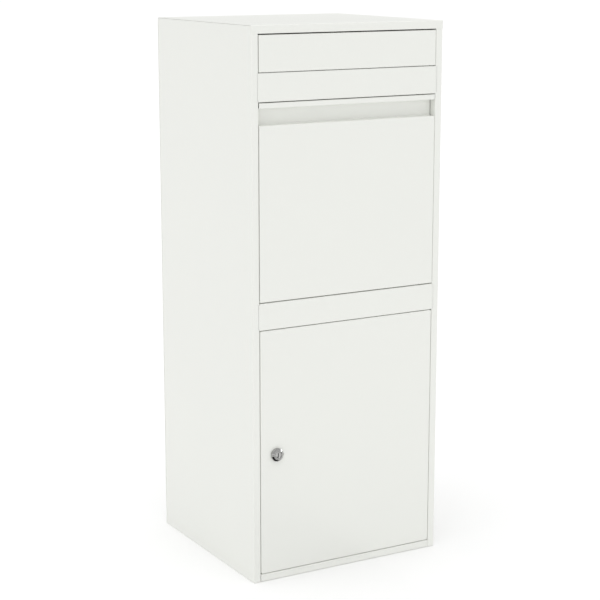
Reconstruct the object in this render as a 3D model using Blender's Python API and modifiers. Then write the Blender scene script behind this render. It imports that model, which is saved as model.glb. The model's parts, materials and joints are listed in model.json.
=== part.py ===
# Parcel drop box: a folded sheet-steel box with a letter flap, a tilting parcel hopper and a locked door.
# Metres, +Z up. The origin is the middle of the footprint, and the front faces -Y.

import math

import bmesh
import bpy
from mathutils import Matrix, Vector

# Overall size of the sheet-metal body, without the lock's bezel
WIDTH = 0.400
DEPTH = 0.380
HEIGHT = 1.020

# Sheet and folds
SHEET = 0.0012
BEND = 0.0020
BEND_SEGMENTS = 3
TOUCH = 0.0003

# Face frame
STILE = 0.0142
STILE_RETURN = 0.0185
TOP_RAIL = 0.0150
LETTER_STRIP = 0.05050
MID_RAIL = 0.0497
BOTTOM_RAIL = 0.0142
RAIL_RETURN = 0.0150
REAR_FLANGE = 0.0150
COVER_REAR_FLANGE = 0.0120
FLOOR_FLANGE = 0.0150

# Panels that move, and the gaps round them
SIDE_GAP = 0.0011
FLAP_HEIGHT = 0.06485
FLAP_TOP_GAP = 0.0021
FLAP_BOTTOM_GAP = 0.0011
HOPPER_HEIGHT = 0.3562
HOPPER_GAP = 0.0015
DOOR_GAP = 0.0011
DOOR_STOP_SPACE = 0.0035
DOOR_EDGE = 0.0015

# Letter flap
FLAP_TOP_RETURN = 0.0100
FLAP_SILL = 0.0050
FLAP_LIP = 0.00625
FLAP_AXIS_BACK = 0.0060
FLAP_AXIS_DROP = 0.0060
ROD_RADIUS = 0.0020
ROD_OVERHANG = 0.0037
FLAP_BRACKET_X = 0.150
FLAP_BRACKET = (0.0020, 0.0095, 0.0160)
SPRING_WIRE = 0.0004
SPRING_COIL = 0.0031
SPRING_TURNS = 7
SPRING_LENGTH = 0.0120
SPRING_X = 0.156
SPRING_LEG = 0.0140

# Letter chute
CHUTE_FLANGE = 0.0190
CHUTE_DROP_UNDER_STRIP = 0.01245
CHUTE_FALL = 0.0843
CHUTE_REACH = 0.2773
CHUTE_LIP = 0.0100

# Hopper
PIN_FLOOR_CLEARANCE = 0.0008
HOPPER_OPEN = math.radians(45)
HOPPER_TOP_RETURN = 0.0120
HOPPER_BOTTOM_RETURN = 0.0120
PULL_LIP = 0.0097
PULL_HEIGHT = 0.0300
PULL_DEPTH = 0.0160
HOPPER_RADIUS = 0.330
CHEEK_INSET = 0.0030
TRAY_FLANGE = 0.0150
TRAY_FLAT = 0.0300
TRAY_LIP = 0.0100
HINGE_PIN_RADIUS = 0.0020
HINGE_PIN_HEAD = 0.0030
STOP_RADIUS = 0.0050
STOP_REACH = 0.250
STRIP_CATCH = 0.0080
STRIP_RETURN = 0.0155

# Door
DOOR_AXIS_BACK = 0.0042
DOOR_AXIS_INSET = 0.0052
DOOR_PIN_RADIUS = 0.0017
DOOR_PIN_HEAD = (0.0026, 0.0025)
DOOR_PIN_OVERRUN = 0.0020
STOP_BRACKET_HEIGHT = 0.0300
STOP_BRACKET_REACH = 0.0165
STOP_BRACKET_LEG = 0.0140
STOP_BRACKET_INSET = 0.0400

# Stiffeners
STIFFENER_WIDTH = 0.0400
STIFFENER_DEPTH = 0.0120
STIFFENER_FOOT = 0.0100

# Lock
LOCK_INSET = 0.0327
LOCK_HEIGHT = 0.2267
LOCK_PROUD = 0.0070
BEZEL_RADIUS = 0.0125
BARREL_RADIUS = 0.0095
BARREL_TO_CAM = 0.0017
PLUG_RADIUS = 0.0065
TENON_RADIUS = 0.0040
NUT_ACROSS_FLATS = 0.0240
NUT_THICKNESS = 0.0045
WASHER_THICKNESS = 0.0008
WASHER_RADIUS = 0.0135
CAM_THICKNESS = 0.0020
CAM_WIDTH = 0.0160
CAM_REACH = 0.0420
CAM_CLEARANCE = 0.0007
CAM_SCREW_RADIUS = 0.0020
CAM_SCREW_HEAD = 0.0055
KEY_SLOT = (0.0016, 0.0060, 0.0078)

# Wall and floor fixing holes
FIXING_RADIUS = 0.0050
BACK_FIXING = (0.140, 0.180, 0.860)
FLOOR_FIXING = (0.130, 0.110)

# Rubber bumpers
BUMPER_WIDTH = 0.0200
BUMPER_HEIGHT = 0.0080
FLAP_BUMPER_X = 0.110
HOPPER_BUMPER_X = 0.150

ROUND_STEPS = 24

# Levels and planes that follow from the sizes above
FRONT = -DEPTH / 2
BACK = DEPTH / 2
FRONT_INNER = FRONT + SHEET + TOUCH
REAR_FACE = BACK - SHEET - TOUCH
OPENING_X = WIDTH / 2 - STILE
PANEL_X = OPENING_X - SIDE_GAP
RETURN_END = FRONT + STILE_RETURN
RAIL_X = OPENING_X - TOUCH
SIDE_INNER = WIDTH / 2 - SHEET - TOUCH

TOP_RAIL_Z = HEIGHT - TOP_RAIL
FLAP_TOP = TOP_RAIL_Z - FLAP_TOP_GAP
FLAP_BOTTOM = FLAP_TOP - FLAP_HEIGHT
STRIP_TOP = FLAP_BOTTOM - FLAP_BOTTOM_GAP
STRIP_BOTTOM = STRIP_TOP - LETTER_STRIP
HOPPER_TOP = STRIP_BOTTOM - HOPPER_GAP
HOPPER_BOTTOM = HOPPER_TOP - HOPPER_HEIGHT
MID_RAIL_TOP = HOPPER_BOTTOM - HOPPER_GAP
MID_RAIL_BOTTOM = MID_RAIL_TOP - MID_RAIL
DOOR_TOP = MID_RAIL_BOTTOM - DOOR_GAP
DOOR_BOTTOM = BOTTOM_RAIL + DOOR_GAP
DOOR_DEPTH = STILE_RETURN - DOOR_STOP_SPACE

# The hopper's pins stand clear of the tray's flange and floor, which lie inside the front's two folds
HOPPER_AXIS_BACK = 2 * SHEET + 2 * TOUCH + HINGE_PIN_RADIUS
HOPPER_AXIS_RISE = 2 * SHEET + TOUCH + PIN_FLOOR_CLEARANCE + HINGE_PIN_RADIUS

FLAP_AXIS = Vector((0, FRONT + FLAP_AXIS_BACK, FLAP_TOP - FLAP_AXIS_DROP))
HOPPER_AXIS = Vector((0, FRONT + HOPPER_AXIS_BACK, HOPPER_BOTTOM + HOPPER_AXIS_RISE))
DOOR_AXIS = Vector((PANEL_X - DOOR_AXIS_INSET, FRONT + DOOR_AXIS_BACK, DOOR_BOTTOM))
LOCK_AXIS = Vector((-PANEL_X + LOCK_INSET, FRONT, DOOR_BOTTOM + LOCK_HEIGHT))

CHEEK_OUTER = PANEL_X - CHEEK_INSET
CHEEK_INNER = CHEEK_OUTER - SHEET
PULL_TOP = HOPPER_TOP - PULL_LIP
PULL_BOTTOM = PULL_TOP - PULL_HEIGHT

for old in list(bpy.data.objects):
    bpy.data.objects.remove(old, do_unlink=True)

parts = bpy.data.collections.new("parcel_drop_box")
cutters = bpy.data.collections.new("cutters")
bpy.context.scene.collection.children.link(parts)
bpy.context.scene.collection.children.link(cutters)


# Materials

def material(name, colour, roughness, metallic):
    finish = bpy.data.materials.new(name)
    finish.use_nodes = True
    shader = finish.node_tree.nodes["Principled BSDF"]
    shader.inputs["Base Color"].default_value = (*colour, 1.0)
    shader.inputs["Roughness"].default_value = roughness
    shader.inputs["Metallic"].default_value = metallic
    finish.diffuse_color = (*colour, 1.0)
    return finish


BODY_PAINT = ((0.83, 0.84, 0.80), 0.45, 0.0)
INNER_PAINT = ((0.80, 0.81, 0.77), 0.50, 0.0)
ZINC = ((0.62, 0.62, 0.60), 0.35, 1.0)
CHROME = ((0.80, 0.80, 0.80), 0.12, 1.0)
SPRING_STEEL = ((0.45, 0.45, 0.44), 0.30, 1.0)
RUBBER = ((0.03, 0.03, 0.03), 0.80, 0.0)


# Making and placing

def axis_empty(name, place):
    empty = bpy.data.objects.new(name, None)
    empty.location = place
    parts.objects.link(empty)
    return empty


flap_axis = axis_empty("letter_flap_axis", FLAP_AXIS)
hopper_axis = axis_empty("hopper_axis", HOPPER_AXIS)
door_axis = axis_empty("door_axis", DOOR_AXIS)
lock_axis = axis_empty("lock_axis", LOCK_AXIS)
lock_axis.parent = door_axis
lock_axis.location = LOCK_AXIS - DOOR_AXIS

EMPTY_PLACES = {flap_axis: FLAP_AXIS, hopper_axis: HOPPER_AXIS, door_axis: DOOR_AXIS, lock_axis: LOCK_AXIS}


def add_part(name, mesh, paint, carrier=None, matrix=None):
    part = bpy.data.objects.new(name, mesh)
    part.matrix_world = matrix or Matrix()
    mesh.materials.append(material(name, *paint))
    parts.objects.link(part)
    if carrier:
        part.parent = carrier
        part.location = part.location - EMPTY_PLACES[carrier]
    return part


def mesh_from(name, shape):
    bmesh.ops.recalc_face_normals(shape, faces=shape.faces)
    return plain_mesh(name, shape)


def plain_mesh(name, shape):
    mesh = bpy.data.meshes.new(name)
    shape.to_mesh(mesh)
    shape.free()
    return mesh


def add_bevel(part, width, segments=BEND_SEGMENTS, angle=20):
    bevel = part.modifiers.new("fold", "BEVEL")
    bevel.width = width
    bevel.segments = segments
    bevel.limit_method = "ANGLE"
    bevel.angle_limit = math.radians(angle)


def add_thickness(part, thickness):
    solid = part.modifiers.new("sheet", "SOLIDIFY")
    solid.thickness = thickness
    solid.offset = -1
    solid.use_even_offset = True


def cut(part, *tools, solver="EXACT"):
    for tool in tools:
        boolean = part.modifiers.new("cut", "BOOLEAN")
        boolean.operation = "DIFFERENCE"
        boolean.solver = solver
        boolean.object = tool


def add_cutter(name, mesh):
    tool = bpy.data.objects.new(name, mesh)
    tool.hide_render = True
    tool.display_type = "WIRE"
    cutters.objects.link(tool)
    return tool


def box_mesh(name, low, high):
    shape = bmesh.new()
    bmesh.ops.create_cube(shape, size=1.0)
    size = Vector(high) - Vector(low)
    middle = (Vector(high) + Vector(low)) / 2
    bmesh.ops.transform(shape, matrix=Matrix.LocRotScale(middle, None, size), verts=shape.verts)
    return mesh_from(name, shape)


def box_cutter(name, low, high):
    return add_cutter(name, box_mesh(name, low, high))


TURN_TO = {
    "X": Matrix.Rotation(math.radians(90), 4, "Y"),
    "-X": Matrix.Rotation(math.radians(-90), 4, "Y"),
    "Y": Matrix.Rotation(math.radians(-90), 4, "X"),
    "Z": Matrix(),
    "-Z": Matrix.Rotation(math.radians(180), 4, "X"),
}


def add_drum(shape, matrix, radius, length, sides):
    bmesh.ops.create_cone(
        shape,
        cap_ends=True,
        segments=sides,
        radius1=radius,
        radius2=radius,
        depth=length,
        matrix=matrix,
    )


def round_cutter(name, middle, radius, length, axis):
    shape = bmesh.new()
    matrix = Matrix.Translation(middle) @ TURN_TO[axis]
    add_drum(shape, matrix, radius, length, ROUND_STEPS)
    return add_cutter(name, mesh_from(name, shape))


def bent_sheet(name, outline, low, high, along, paint, carrier=None, thickness=SHEET, bend=BEND):
    """A strip whose outer face follows the outline, carried along X, Y or Z, with its thickness inwards."""
    shape = bmesh.new()
    bmesh.ops.create_grid(shape, x_segments=len(outline) - 1, y_segments=1, size=1.0)
    rows = sorted(shape.verts, key=lambda vert: (round(vert.co.y, 4), vert.co.x))
    for index, vert in enumerate(rows):
        row, step = divmod(index, len(outline))
        first, second = outline[step]
        run = high if row else low
        vert.co = {
            "X": Vector((run, first, second)),
            "Y": Vector((first, run, second)),
            "Z": Vector((first, second, run)),
        }[along]
    part = add_part(name, plain_mesh(name, shape), paint, carrier)
    add_bevel(part, bend)
    add_thickness(part, thickness)
    return part


def pan(name, low, high, paint, carrier):
    """A tray with its front at -Y, returns on all four sides and no back."""
    shape = bmesh.new()
    bmesh.ops.create_cube(shape, size=1.0)
    size = Vector(high) - Vector(low)
    middle = (Vector(high) + Vector(low)) / 2
    bmesh.ops.transform(shape, matrix=Matrix.LocRotScale(middle, None, size), verts=shape.verts)
    bmesh.ops.recalc_face_normals(shape, faces=shape.faces)
    backs = [face for face in shape.faces if face.normal.y > 0.5]
    bmesh.ops.delete(shape, geom=backs, context="FACES")
    part = add_part(name, plain_mesh(name, shape), paint, carrier)
    add_bevel(part, DOOR_EDGE)
    add_thickness(part, SHEET)
    return part


def block(name, low, high, paint, carrier=None, edge=0.0):
    part = add_part(name, box_mesh(name, low, high), paint, carrier)
    if edge:
        add_bevel(part, edge, segments=2)
    return part


def turned(name, profile, place, axis, paint, carrier=None, steps=ROUND_STEPS, closed=False):
    """A profile of (radius, height) points, turned about its height and laid along X, Y or Z."""
    shape = bmesh.new()
    verts = [shape.verts.new((radius, 0, height)) for radius, height in profile]
    pairs = list(zip(verts, verts[1:]))
    if closed:
        pairs.append((verts[-1], verts[0]))
    for pair in pairs:
        shape.edges.new(pair)
    matrix = Matrix.Translation(place) @ TURN_TO[axis]
    part = add_part(name, plain_mesh(name, shape), paint, carrier, matrix)
    screw = part.modifiers.new("turn", "SCREW")
    screw.steps = steps
    screw.render_steps = steps
    screw.use_merge_vertices = True
    screw.merge_threshold = 0.00002
    screw.use_smooth_shade = False
    return part


def pin(name, radius, start, end, middle, axis, paint, carrier=None, head=None):
    """A round pin from start to end along its axis, with an optional (radius, length) head at its end."""
    profile = [(0, end), (radius, end), (radius, start), (0, start)]
    if head:
        head_radius, head_length = head
        seat = end - head_length
        profile[:2] = [(0, end), (head_radius, end), (head_radius, seat), (radius, seat)]
    return turned(name, profile, middle, axis, paint, carrier)


def plate(name, outline, thickness, matrix, paint, carrier=None):
    """A flat outline drawn in the plate's own XY, thickened both ways from its middle."""
    curve = bpy.data.curves.new(name, "CURVE")
    curve.dimensions = "2D"
    curve.fill_mode = "BOTH"
    curve.extrude = thickness / 2
    spline = curve.splines.new("POLY")
    spline.points.add(len(outline) - 1)
    spline.use_cyclic_u = True
    for point, (across, up) in zip(spline.points, outline):
        point.co = (across, up, 0, 1)
    drawing = bpy.data.objects.new(name + "_outline", curve)
    parts.objects.link(drawing)
    shape = bmesh.new()
    evaluated = drawing.evaluated_get(bpy.context.evaluated_depsgraph_get())
    shape.from_mesh(bpy.data.meshes.new_from_object(evaluated))
    bpy.data.objects.remove(drawing, do_unlink=True)
    bmesh.ops.remove_doubles(shape, verts=shape.verts, dist=0.00001)
    return add_part(name, mesh_from(name, shape), paint, carrier, matrix)


def facing_x(x):
    """Lays a plate's own X along world Y, and its own Y along world Z, at the given X."""
    return Matrix(((0, 0, 1, x), (1, 0, 0, 0), (0, 1, 0, 0), (0, 0, 0, 1)))


def facing_y(y):
    """Lays a plate's own X along world X, and its own Y along world Z, at the given Y."""
    return Matrix(((1, 0, 0, 0), (0, 0, -1, y), (0, 1, 0, 0), (0, 0, 0, 1)))


# Bores shared by a pin and the sheets that it passes through

def across_bore(name, middle, radius):
    """A bore along X through both stile returns and everything between them, short of the side sheets."""
    reach = OPENING_X + 2 * SHEET + TOUCH
    return round_cutter(name, middle, radius + TOUCH, 2 * reach, "X")


def door_pin_bore(name, gap_middle):
    """A bore along Z through a door return and the rail return beyond the gap."""
    reach = DOOR_GAP / 2 + SHEET + 2 * TOUCH
    middle = Vector((DOOR_AXIS.x, DOOR_AXIS.y, gap_middle))
    return round_cutter(name, middle, DOOR_PIN_RADIUS + TOUCH, 2 * reach, "Z")


flap_rod_bore = across_bore("flap_rod_bore", FLAP_AXIS, ROD_RADIUS)
hopper_pin_bore = across_bore("hopper_pin_bore", HOPPER_AXIS, HINGE_PIN_RADIUS)
door_bore_top = door_pin_bore("door_bore_top", DOOR_TOP + DOOR_GAP / 2)
door_bore_bottom = door_pin_bore("door_bore_bottom", DOOR_BOTTOM - DOOR_GAP / 2)


# Shell

cover_front_notch = box_cutter(
    "cover_front_notch",
    (-WIDTH, FRONT - SHEET, TOP_RAIL_Z - TOUCH),
    (WIDTH, FRONT_INNER, HEIGHT + SHEET),
)
cover_rear_notch = box_cutter(
    "cover_rear_notch",
    (-WIDTH, REAR_FACE - SHEET - TOUCH, HEIGHT - COVER_REAR_FLANGE - TOUCH),
    (WIDTH, BACK + SHEET, HEIGHT + SHEET),
)


def side_panel(name, side):
    outline = [
        (OPENING_X, RETURN_END),
        (OPENING_X, FRONT),
        (WIDTH / 2, FRONT),
        (WIDTH / 2, REAR_FACE),
        (WIDTH / 2 - REAR_FLANGE, REAR_FACE),
    ]
    if side < 0:
        outline = [(-x, y) for x, y in reversed(outline)]
    panel = bent_sheet(name, outline, 0, HEIGHT - SHEET - TOUCH, "Z", BODY_PAINT)
    cut(panel, cover_front_notch, cover_rear_notch)
    # A small round bore in a face a metre tall leaves slivers under the exact solver at some sizes.
    cut(panel, flap_rod_bore, hopper_pin_bore, solver="MANIFOLD")


def top_cover():
    outline = [
        (REAR_FACE, HEIGHT - COVER_REAR_FLANGE),
        (REAR_FACE, HEIGHT),
        (FRONT, HEIGHT),
        (FRONT, TOP_RAIL_Z),
    ]
    bent_sheet("top_cover", outline, -WIDTH / 2, WIDTH / 2, "X", BODY_PAINT)


def back_panel():
    panel = block(
        "back_panel", (-WIDTH / 2, BACK - SHEET, 0), (WIDTH / 2, BACK, HEIGHT - BEND), BODY_PAINT
    )
    across, low, high = BACK_FIXING
    for side in (-1, 1):
        for level in (low, high):
            middle = (side * across, BACK, level)
            cut(panel, round_cutter("wall_fixing_hole", middle, FIXING_RADIUS, 4 * SHEET, "Y"))


def floor_pan():
    outline = [
        (SIDE_INNER, FLOOR_FLANGE),
        (SIDE_INNER, 0),
        (-SIDE_INNER, 0),
        (-SIDE_INNER, FLOOR_FLANGE),
    ]
    rear = REAR_FACE - SHEET - TOUCH
    pan_part = bent_sheet("floor_pan", outline, RETURN_END + TOUCH, rear, "Y", INNER_PAINT)
    across, along = FLOOR_FIXING
    for side in (-1, 1):
        for end in (-1, 1):
            middle = (side * across, end * along, 0)
            cut(pan_part, round_cutter("floor_fixing_hole", middle, FIXING_RADIUS, 4 * SHEET, "Z"))


def channel_rail(name, low, high, depth):
    """A rail between the stiles: a front face with a return behind its top and bottom."""
    outline = [(FRONT + depth, high), (FRONT, high), (FRONT, low), (FRONT + depth, low)]
    return bent_sheet(name, outline, -RAIL_X, RAIL_X, "X", BODY_PAINT)


def letter_strip():
    catch = FRONT + STRIP_RETURN
    outline = [
        (FRONT, STRIP_TOP),
        (FRONT, STRIP_BOTTOM),
        (catch, STRIP_BOTTOM),
        (catch, STRIP_BOTTOM - STRIP_CATCH),
    ]
    bent_sheet("letter_strip", outline, -RAIL_X, RAIL_X, "X", BODY_PAINT)


def letter_chute():
    top = STRIP_TOP - CHUTE_DROP_UNDER_STRIP
    start = FRONT_INNER + SHEET
    end = start + CHUTE_REACH
    outline = [
        (start, top - CHUTE_FLANGE),
        (start, top),
        (end, top - CHUTE_FALL),
        (end, top - CHUTE_FALL - CHUTE_LIP),
    ]
    bent_sheet("letter_chute", outline, -RAIL_X, RAIL_X, "X", INNER_PAINT)


side_panel("left_side_panel", -1)
side_panel("right_side_panel", 1)
top_cover()
back_panel()
floor_pan()
cut(channel_rail("bottom_rail", 0, BOTTOM_RAIL, STILE_RETURN), door_bore_bottom)
cut(channel_rail("mid_rail", MID_RAIL_BOTTOM, MID_RAIL_TOP, RAIL_RETURN), door_bore_top)
letter_strip()
letter_chute()


# Letter flap, which swings inwards about its rod

def letter_flap():
    outline = [
        (FRONT + FLAP_TOP_RETURN, FLAP_TOP),
        (FRONT, FLAP_TOP),
        (FRONT, FLAP_BOTTOM),
        (FRONT + FLAP_SILL, FLAP_BOTTOM),
        (FRONT + FLAP_SILL, FLAP_BOTTOM - FLAP_LIP),
    ]
    bent_sheet("letter_flap", outline, -PANEL_X, PANEL_X, "X", BODY_PAINT, flap_axis)
    end = OPENING_X + ROD_OVERHANG
    profile = [(0, end), (ROD_RADIUS, end), (ROD_RADIUS, -end), (0, -end)]
    turned("letter_flap_rod", profile, FLAP_AXIS, "X", ZINC, flap_axis)


def flap_rod_bracket(name, side):
    width, depth, height = FLAP_BRACKET
    top = FLAP_TOP - SHEET - TOUCH
    x = side * FLAP_BRACKET_X
    low = (x - width / 2, FRONT_INNER, top - height)
    high = (x + width / 2, FRONT_INNER + depth, top)
    bracket = block(name, low, high, ZINC, flap_axis, edge=width / 4)
    cut(bracket, flap_rod_bore)


def flap_spring(name, side):
    """A torsion spring: a leg up the back of the flap, a coil round the rod and a leg to the rear."""
    per_turn = 10
    steps = SPRING_TURNS * per_turn + per_turn // 4
    pitch = SPRING_LENGTH / steps
    points = [(side * SPRING_X, -SPRING_COIL, -SPRING_LEG)]
    for step in range(steps + 1):
        angle = 2 * math.pi * step / per_turn
        x = side * (SPRING_X + step * pitch)
        points.append((x, -SPRING_COIL * math.cos(angle), SPRING_COIL * math.sin(angle)))
    x, y, z = points[-1]
    points.append((x, y + SPRING_LEG / 2, z))
    curve = bpy.data.curves.new(name, "CURVE")
    curve.dimensions = "3D"
    curve.bevel_depth = SPRING_WIRE
    curve.bevel_resolution = 2
    curve.use_fill_caps = True
    spline = curve.splines.new("POLY")
    spline.points.add(len(points) - 1)
    for point, place in zip(spline.points, points):
        point.co = (*place, 1)
    spring = add_part(name, curve, SPRING_STEEL)
    spring.parent = flap_axis


def letter_flap_bumper(name, side):
    x = side * FLAP_BUMPER_X
    top = STRIP_TOP - SHEET
    low = (x - BUMPER_WIDTH / 2, FRONT_INNER, top - BUMPER_HEIGHT)
    high = (x + BUMPER_WIDTH / 2, FRONT + FLAP_SILL - TOUCH, top)
    block(name, low, high, RUBBER, edge=SHEET / 2)


letter_flap()
for side, word in ((-1, "left"), (1, "right")):
    flap_rod_bracket("flap_rod_bracket_" + word, side)
    flap_spring("flap_spring_" + word, side)
    letter_flap_bumper("letter_flap_bumper_" + word, side)


# Hopper, which tilts out about its two pins until its tray is level

CHEEK_FLOOR = HOPPER_BOTTOM + SHEET + TOUCH
TRAY_DOWN = Vector((math.cos(HOPPER_OPEN), -math.sin(HOPPER_OPEN)))
TRAY_BEND = Vector((FRONT_INNER + TRAY_FLAT, CHEEK_FLOOR))


def tray_end():
    """Where the tray's slope meets the hopper's radius about its axis."""
    start = TRAY_BEND - HOPPER_AXIS.yz
    along = start.dot(TRAY_DOWN)
    run = math.sqrt(along ** 2 - start.length_squared + HOPPER_RADIUS ** 2) - along
    return TRAY_BEND + TRAY_DOWN * run


def hopper_front():
    pull_back = FRONT + PULL_DEPTH
    outline = [
        (FRONT + HOPPER_TOP_RETURN, HOPPER_TOP),
        (FRONT, HOPPER_TOP),
        (FRONT, PULL_TOP),
        (pull_back, PULL_TOP),
        (pull_back, PULL_BOTTOM),
        (FRONT, PULL_BOTTOM),
        (FRONT, HOPPER_BOTTOM),
        (FRONT + HOPPER_BOTTOM_RETURN, HOPPER_BOTTOM),
    ]
    bent_sheet("hopper_front", outline, -PANEL_X, PANEL_X, "X", BODY_PAINT, hopper_axis)


def cheek_outline():
    """The front edge under the pull's box, round the radius to the tray's end, and back along the tray."""
    under_pull = PULL_BOTTOM - SHEET - TOUCH
    behind_pull = FRONT + PULL_DEPTH + SHEET + TOUCH
    axis = HOPPER_AXIS.yz
    end = tray_end() - axis
    first = math.asin((behind_pull - axis.x) / HOPPER_RADIUS)
    last = math.atan2(end.x, end.y)
    arc_steps = 32
    outline = [
        (FRONT_INNER + BEND, CHEEK_FLOOR),
        (FRONT_INNER, CHEEK_FLOOR + BEND),
        (FRONT_INNER, under_pull - BEND),
        (FRONT_INNER + BEND, under_pull),
        (behind_pull, under_pull),
    ]
    for step in range(arc_steps + 1):
        angle = first + (last - first) * step / arc_steps
        outline.append((axis.x + HOPPER_RADIUS * math.sin(angle), axis.y + HOPPER_RADIUS * math.cos(angle)))
    outline.append(tuple(TRAY_BEND))
    return outline


def hopper_cheek(name, side):
    middle = side * (CHEEK_OUTER + CHEEK_INNER) / 2
    cheek = plate(name, cheek_outline(), SHEET, facing_x(middle), INNER_PAINT, hopper_axis)
    cut(cheek, hopper_pin_bore)


def hopper_tray():
    end = tray_end()
    lip = end + Vector((-math.sin(HOPPER_OPEN), -math.cos(HOPPER_OPEN))) * TRAY_LIP
    outline = [
        (FRONT_INNER, CHEEK_FLOOR + TRAY_FLANGE),
        (FRONT_INNER, CHEEK_FLOOR),
        tuple(TRAY_BEND),
        tuple(end),
        tuple(lip),
    ]
    half = CHEEK_INNER - TOUCH
    bent_sheet("hopper_tray", outline, -half, half, "X", INNER_PAINT, hopper_axis)


def hat_outline(middle, face):
    """A hat section on an inner face, foot to foot, as (out from the face, along the face) points."""
    half = STIFFENER_WIDTH / 2
    foot = half + STIFFENER_FOOT
    top = face + STIFFENER_DEPTH
    return [
        (face, middle - foot),
        (face, middle - half),
        (top, middle - half),
        (top, middle + half),
        (face, middle + half),
        (face, middle + foot),
    ]


def hopper_stiffener():
    half = CHEEK_INNER - TOUCH
    middle = (HOPPER_BOTTOM + PULL_BOTTOM) / 2
    outline = hat_outline(middle, FRONT_INNER + SHEET)
    bent_sheet("hopper_stiffener", outline, -half, half, "X", INNER_PAINT, hopper_axis)


def hopper_hinge_pin(name, side):
    start = CHEEK_INNER - SHEET
    end = OPENING_X + SHEET + TOUCH + HINGE_PIN_RADIUS
    axis = "X" if side > 0 else "-X"
    head = (HINGE_PIN_HEAD, HINGE_PIN_RADIUS)
    pin(name, HINGE_PIN_RADIUS, start, end, HOPPER_AXIS, axis, ZINC, head=head)


def hopper_stop(name, side):
    """A stud on the cheek that meets the back of the stile's return when the hopper is fully out."""
    out = Vector((RETURN_END + 2 * TOUCH + STOP_RADIUS - HOPPER_AXIS.y, STOP_REACH))
    turn = Matrix.Rotation(-HOPPER_OPEN, 2)
    closed = turn @ out
    middle = HOPPER_AXIS + Vector((0, closed.x, closed.y))
    axis = "X" if side > 0 else "-X"
    start = CHEEK_OUTER + TOUCH
    pin(name, STOP_RADIUS, start, OPENING_X + 2 * SHEET, middle, axis, ZINC, hopper_axis)


def hopper_bumper(name, side):
    x = side * HOPPER_BUMPER_X
    front = FRONT + HOPPER_TOP_RETURN + TOUCH
    low = (x - BUMPER_WIDTH / 2, front, STRIP_BOTTOM - STRIP_CATCH + TOUCH)
    high = (x + BUMPER_WIDTH / 2, FRONT + STRIP_RETURN - TOUCH, HOPPER_TOP)
    block(name, low, high, RUBBER, edge=SHEET / 2)


hopper_front()
hopper_tray()
hopper_stiffener()
for side, word in ((-1, "left"), (1, "right")):
    hopper_cheek("hopper_cheek_" + word, side)
    hopper_hinge_pin("hopper_hinge_pin_" + word, side)
    hopper_stop("hopper_stop_" + word, side)
    hopper_bumper("hopper_bumper_" + word, side)


# Door, hinged on the right on two pins

lock_bore = round_cutter("lock_bore", LOCK_AXIS, BARREL_RADIUS + TOUCH, 4 * SHEET, "Y")


def door_panel():
    low = (-PANEL_X, FRONT, DOOR_BOTTOM)
    high = (PANEL_X, FRONT + DOOR_DEPTH, DOOR_TOP)
    panel = pan("door_panel", low, high, BODY_PAINT, door_axis)
    cut(panel, lock_bore, door_bore_top, door_bore_bottom)


def door_stiffener():
    outline = [(-along, out) for out, along in hat_outline(0, FRONT_INNER + SHEET)]
    low = DOOR_BOTTOM + STIFFENER_WIDTH
    high = DOOR_TOP - STIFFENER_WIDTH
    bent_sheet("door_stiffener", outline, low, high, "Z", INNER_PAINT, door_axis)


def door_hinge_pins():
    middle = Vector((DOOR_AXIS.x, DOOR_AXIS.y, 0))
    head_length = DOOR_PIN_HEAD[1]
    seat = SHEET + TOUCH
    tip = MID_RAIL_BOTTOM + SHEET + DOOR_PIN_OVERRUN
    head_end = DOOR_TOP - seat - head_length
    pin("door_hinge_pin_top", DOOR_PIN_RADIUS, -tip, -head_end, middle, "-Z", ZINC, door_axis, DOOR_PIN_HEAD)
    tip = BOTTOM_RAIL - SHEET - DOOR_PIN_OVERRUN
    head_end = DOOR_BOTTOM + seat + head_length
    pin("door_hinge_pin_bottom", DOOR_PIN_RADIUS, tip, head_end, middle, "Z", ZINC, door_axis, DOOR_PIN_HEAD)


def door_stop(word, low):
    """An angle round the end of the left stile's return, with a rubber pad that the door's edge closes on."""
    hidden = -(OPENING_X + 2 * SHEET + TOUCH)
    rear = RETURN_END + TOUCH + SHEET
    outline = [(hidden + STOP_BRACKET_REACH, rear), (hidden, rear), (hidden, rear - STOP_BRACKET_LEG)]
    high = low + STOP_BRACKET_HEIGHT
    bent_sheet("door_stop_bracket_" + word, outline, low, high, "Z", ZINC)
    pad_low = (-PANEL_X, FRONT + DOOR_DEPTH + TOUCH, low + SHEET)
    pad_high = (hidden + STOP_BRACKET_REACH - SHEET, RETURN_END, high - SHEET)
    block("door_bumper_" + word, pad_low, pad_high, RUBBER, edge=SHEET / 2)


door_panel()
door_stiffener()
door_hinge_pins()
door_stop("lower", DOOR_BOTTOM + STOP_BRACKET_INSET)
door_stop("upper", DOOR_TOP - STOP_BRACKET_INSET - STOP_BRACKET_HEIGHT)


# Lock on the door: distances run back along Y from the door's face

WASHER_START = SHEET + TOUCH
NUT_START = WASHER_START + WASHER_THICKNESS + TOUCH
CAM_START = STILE_RETURN + CAM_CLEARANCE
CAM_END = CAM_START + CAM_THICKNESS
BARREL_LENGTH = CAM_START - BARREL_TO_CAM


def lock_housing():
    bore = PLUG_RADIUS + TOUCH
    rounding = LOCK_PROUD / 7
    profile = [
        (BARREL_RADIUS, BARREL_LENGTH),
        (BARREL_RADIUS, -TOUCH),
        (BEZEL_RADIUS, -TOUCH),
        (BEZEL_RADIUS, rounding - LOCK_PROUD),
        (BEZEL_RADIUS - rounding, -LOCK_PROUD),
        (bore, -LOCK_PROUD),
        (bore, BARREL_LENGTH),
    ]
    turned("lock_housing", profile, LOCK_AXIS, "Y", CHROME, door_axis, closed=True)


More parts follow.
